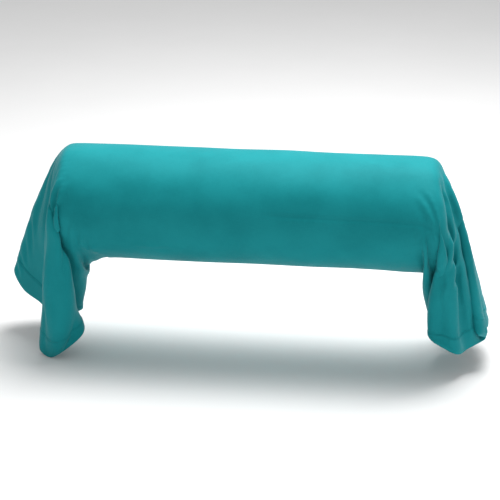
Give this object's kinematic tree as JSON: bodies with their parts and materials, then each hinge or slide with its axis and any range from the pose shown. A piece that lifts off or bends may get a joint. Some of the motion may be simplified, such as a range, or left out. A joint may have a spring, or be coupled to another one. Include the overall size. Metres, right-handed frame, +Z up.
{
  "type": "bolster pillow",
  "caption": "Long round bed bolster in a smooth teal cotton case, whose open hemmed ends hang down in soft folds past the ends of the roll.",
  "frame": {"origin": "centre of the flat strip of the underside that the bolster rests on", "axes": "+X along the bolster, +Z up, +Y from the front to the back"},
  "size_m": [1.1391, 0.27, 0.4778],
  "materials": {
    "case_cotton": "smooth plain-dyed cotton with a slight sheen",
    "case_thread": "matching polyester sewing thread",
    "label_tape": "plain white satin tape, blank",
    "ticking_cotton": "close-woven white cotton",
    "ticking_thread": "white sewing thread",
    "fibre_filling": "white hollow polyester fibre"
  },
  "bodies": {
    "root": {"case_body": "case_cotton", "case_tail_left": "case_cotton", "case_tail_right": "case_cotton", "hem_left": "case_cotton", "hem_right": "case_cotton", "hem_stitching_left": "case_thread", "hem_stitching_right": "case_thread", "case_seam": "case_cotton", "case_seam_stitching": "case_thread", "care_label": "label_tape", "ticking_tube": "ticking_cotton", "ticking_end_left": "ticking_cotton", "ticking_end_right": "ticking_cotton", "ticking_end_seam_left": "ticking_cotton", "ticking_end_seam_right": "ticking_cotton", "ticking_seam": "ticking_cotton", "ticking_closing_stitches": "ticking_thread", "filling": "fibre_filling"}
  },
  "joints": []
}
